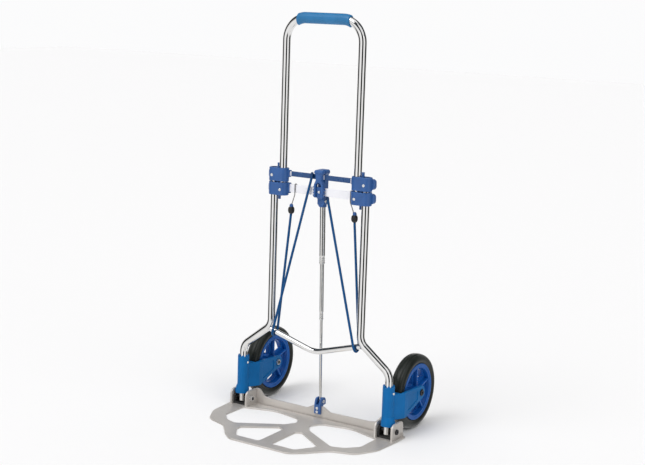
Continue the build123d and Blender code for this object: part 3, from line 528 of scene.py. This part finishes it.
# the cord's two ends on each side: at its clip in the head, and at its moulded end
CLIP = {"left": (-0.0208, FRAME_Y - 0.002, 0.596), "right": (0.0168, FRAME_Y + 0.0108, 0.546)}
BALL = {"left": (-0.079, FRAME_Y + 0.002, 0.505), "right": (0.0975, FRAME_Y + 0.002, 0.505)}
# the cord's bend under the cross tube: its place, and how far its two sides stand off the tube
LOOP_X, LOOP_Z, LOOP_OUT = 0.118, 0.1958, 0.0111
LOOP_FRONT_MORE, LOOP_REAR_IN = 0.0008, 0.001
NEAR_LOOP = 0.036                       # the straight runs begin this far from the bend
ROUTE_RESOLUTION, CORD_STEPS = 64, 20


def toward(a, b, distance):
    """The point this far from a on the way to b."""
    a, b = Vector(a), Vector(b)
    return a + (b - a).normalized() * distance


def add_cord(side, name):
    """Elastic cord from its clip, under the cross tube's end, up to its moulded end."""
    front = (side * LOOP_X, FRAME_Y - LOOP_OUT - LOOP_FRONT_MORE, LOOP_Z)
    rear = (side * (LOOP_X - LOOP_REAR_IN), FRAME_Y + LOOP_OUT, LOOP_Z)
    near_front = toward(front, CLIP[name], NEAR_LOOP)
    near_rear = toward(rear, BALL[name], NEAR_LOOP)
    points = [CLIP[name], near_front, front, rear, near_rear, BALL[name]]
    path = route_of(points, ROUTE_RESOLUTION)
    verts, faces, uvs = tube_skin(path, CORD_R, CORD_STEPS)
    cord = add_piece(f"elastic_cord_{name}", verts, faces, ["cord_fabric"], None,
                     [f"bungee_{name}"], uvs=uvs)
    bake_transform(cord)
    return cord, path


def add_ball(name):
    """Moulded cord end: a fluted black collar under a blue cap."""
    place = Matrix.Translation(BALL[name])
    steps, flute_count, flute_depth = 48, 7, 0.05
    profile = [(-0.0040, 0.0033), (-0.0040, 0.0042), (-0.0032, 0.0056), (-0.0014, 0.0069),
               (0.0010, 0.0077), (0.0036, 0.0080), (0.0064, 0.0079), (0.0088, 0.0075),
               (0.0106, 0.0067), (0.0118, 0.0056), (0.0124, 0.0046), (0.0127, 0.0042),
               (0.0134, 0.0046), (0.0152, 0.0045), (0.0170, 0.0041), (0.0184, 0.0034),
               (0.0194, 0.0025), (0.0200, 0.0013)]

    fluted_rows, blue_rows = range(3, 9), range(11, 17)

    def flutes(row, turn):
        return 1 + flute_depth * (math.cos(flute_count * turn) - 1) if row in fluted_rows else 1.0

    verts, faces = lathe(profile, steps, place, flutes)
    cap(verts, faces, steps, place, profile[0][0], profile[-1][0])
    pick = [1 if i // steps in blue_rows else 0 for i in range(len(faces))]
    return add_piece(f"cord_end_{name}", verts, faces, ["ball_plastic", "block_plastic"],
                     "handle", [f"bungee_ball_{name}"], pick)


def add_clip(name, lean):
    """Dark moulded clip that leans inwards: a ferrule round the cord, then a flat hook body."""
    x, y, z = CLIP[name]
    steps = 32
    # height, half width along X, half width along Y, and how square the section is
    sections = [(-0.0030, 0.0031, 0.0033, 4), (-0.0024, 0.0034, 0.0035, 3),
                (0.0014, 0.0034, 0.0035, 2.5), (0.0022, 0.0028, 0.0030, 2.5),
                (0.0034, 0.0026, 0.0030, 4), (0.0052, 0.0028, 0.0031, 5),
                (0.0080, 0.0027, 0.0031, 5), (0.0096, 0.0024, 0.0028, 4),
                (0.0106, 0.0017, 0.0020, 3), (0.0109, 0.0008, 0.0008, 2)]
    verts, faces = [], []
    for up, half_x, half_y, power in sections:
        for k in range(steps):
            turn = 2 * math.pi * k / steps
            c, s = math.cos(turn), math.sin(turn)
            verts.append(Vector((
                x + lean * up + half_x * math.copysign(abs(c) ** (2 / power), c),
                y + half_y * math.copysign(abs(s) ** (2 / power), s),
                z + up)))
    for row in range(len(sections) - 1):
        for k in range(steps):
            a, b = row * steps + k, row * steps + (k + 1) % steps
            faces.append((a, b, b + steps, a + steps))
    middle = Matrix.Translation((x + lean * 0.004, y, z))
    cap(verts, faces, steps, middle, sections[0][0], sections[-1][0])
    return add_piece(f"cord_clip_{name}", verts, faces, ["clip_plastic"], "handle",
                     [f"bungee_clip_{name}"])


CLIP_LEAN = 0.05
for side, name in SIDES:
    cord, path = add_cord(side, name)
    ball = add_ball(name)
    clip = add_clip(name, -side * CLIP_LEAN)


# ---- tyres -----------------------------------------------------------------------------------
WHEEL_R, AXLE_Y, WHEEL_X, RIM_R = 0.090, FRAME_Y + 0.115, 0.208, 0.068
TYRE_HALF = 0.0170


def add_tyre(side, name):
    """Solid rubber tyre with a stepped sidewall, a shoulder bead and two tread grooves."""
    # half of the outline, as (distance from the middle, radius), from the rim out to the tread
    edge = [(0.0135, RIM_R), (0.0140, RIM_R + 0.0012), (0.0153, RIM_R + 0.0026),
            (0.0162, RIM_R + 0.0034), (0.0159, RIM_R + 0.0044), (0.0166, RIM_R + 0.0054),
            (TYRE_HALF, RIM_R + 0.0085), (TYRE_HALF, RIM_R + 0.0110), (0.0167, WHEEL_R - 0.0086),
            (0.0160, WHEEL_R - 0.0062), (0.0148, WHEEL_R - 0.0044), (0.0128, WHEEL_R - 0.0028),
            (0.0104, WHEEL_R - 0.0016), (0.0082, WHEEL_R - 0.0009), (0.0074, WHEEL_R - 0.0017),
            (0.0068, WHEEL_R - 0.0018), (0.0060, WHEEL_R - 0.0005), (0.0030, WHEEL_R - 0.0001)]
    profile = [(-x, r) for x, r in edge] + [(0.0, WHEEL_R)] + [(x, r) for x, r in reversed(edge)]
    centre = Matrix.Translation((side * WHEEL_X, AXLE_Y, WHEEL_R))
    place = centre @ Matrix.Rotation(math.pi / 2, 4, "Y")
    steps = 144
    verts, faces = lathe(profile, steps, place)
    last = (len(profile) - 1) * steps
    for k in range(steps):
        beside = (k + 1) % steps
        faces.append((last + k, last + beside, beside, k))
    return add_piece(f"tyre_rubber_{name}", verts, faces, ["tyre_rubber"], f"wheel_{name}",
                     [f"tyre_{name}"])


for side, name in SIDES:
    add_tyre(side, name)

# ---- telescopic rod ----------------------------------------------------------------------------
LINK = Vector((0.0, FRAME_Y + 0.034, 0.043))
ROD_FORWARD, ROD_UP = 0.0182, 0.5185    # from the link to the rod's top, beside the lower bar
ROD_WALL = 0.0009
CRIMPS = (0.0055, 0.0105, 0.0155)       # above a stage's lower end
# outline of a crimped groove: distance from its middle, and depth
CRIMP = ((-0.0020, 0), (-0.0012, 0.0005), (-0.0005, 0.0010), (0.0005, 0.0010), (0.0012, 0.0005),
         (0.0020, 0))


def add_rod_stage(name, node, body, low, high, radius):
    """Tubular stage with three crimped grooves and a rolled lip at its lower end."""
    lean = math.atan2(ROD_FORWARD, ROD_UP)
    place = Matrix.Translation(LINK) @ Matrix.Rotation(lean, 4, "X")
    inner = radius - ROD_WALL
    profile = [(low + 0.0008, inner - 0.0002), (low + 0.0002, inner + 0.0001),
               (low, inner + 0.0004), (low + 0.0001, radius - 0.0004),
               (low + 0.0006, radius - 0.0001), (low + 0.0018, radius)]
    for middle in CRIMPS:
        for offset, depth in CRIMP:
            profile.append((low + middle + offset, radius - depth))
    profile += [(low + 0.0210, radius), (high - 0.001, radius), (high, radius - 0.0005),
                (high, inner)]
    verts, faces = lathe(profile, 40, place)
    return add_piece(name, verts, faces, ["rod_steel"], body, [node])


# piece, CAD node and body, then the stage's ends along the rod from the link, and its radius
ROD_STAGES = (("rod_stage_upper", "rod_upper", "rod_top", 0.344, 0.557, 0.0070),
              ("rod_stage_middle", "rod_mid", "rod_middle", 0.206, 0.376, 0.0050))
for stage in ROD_STAGES:
    add_rod_stage(*stage)
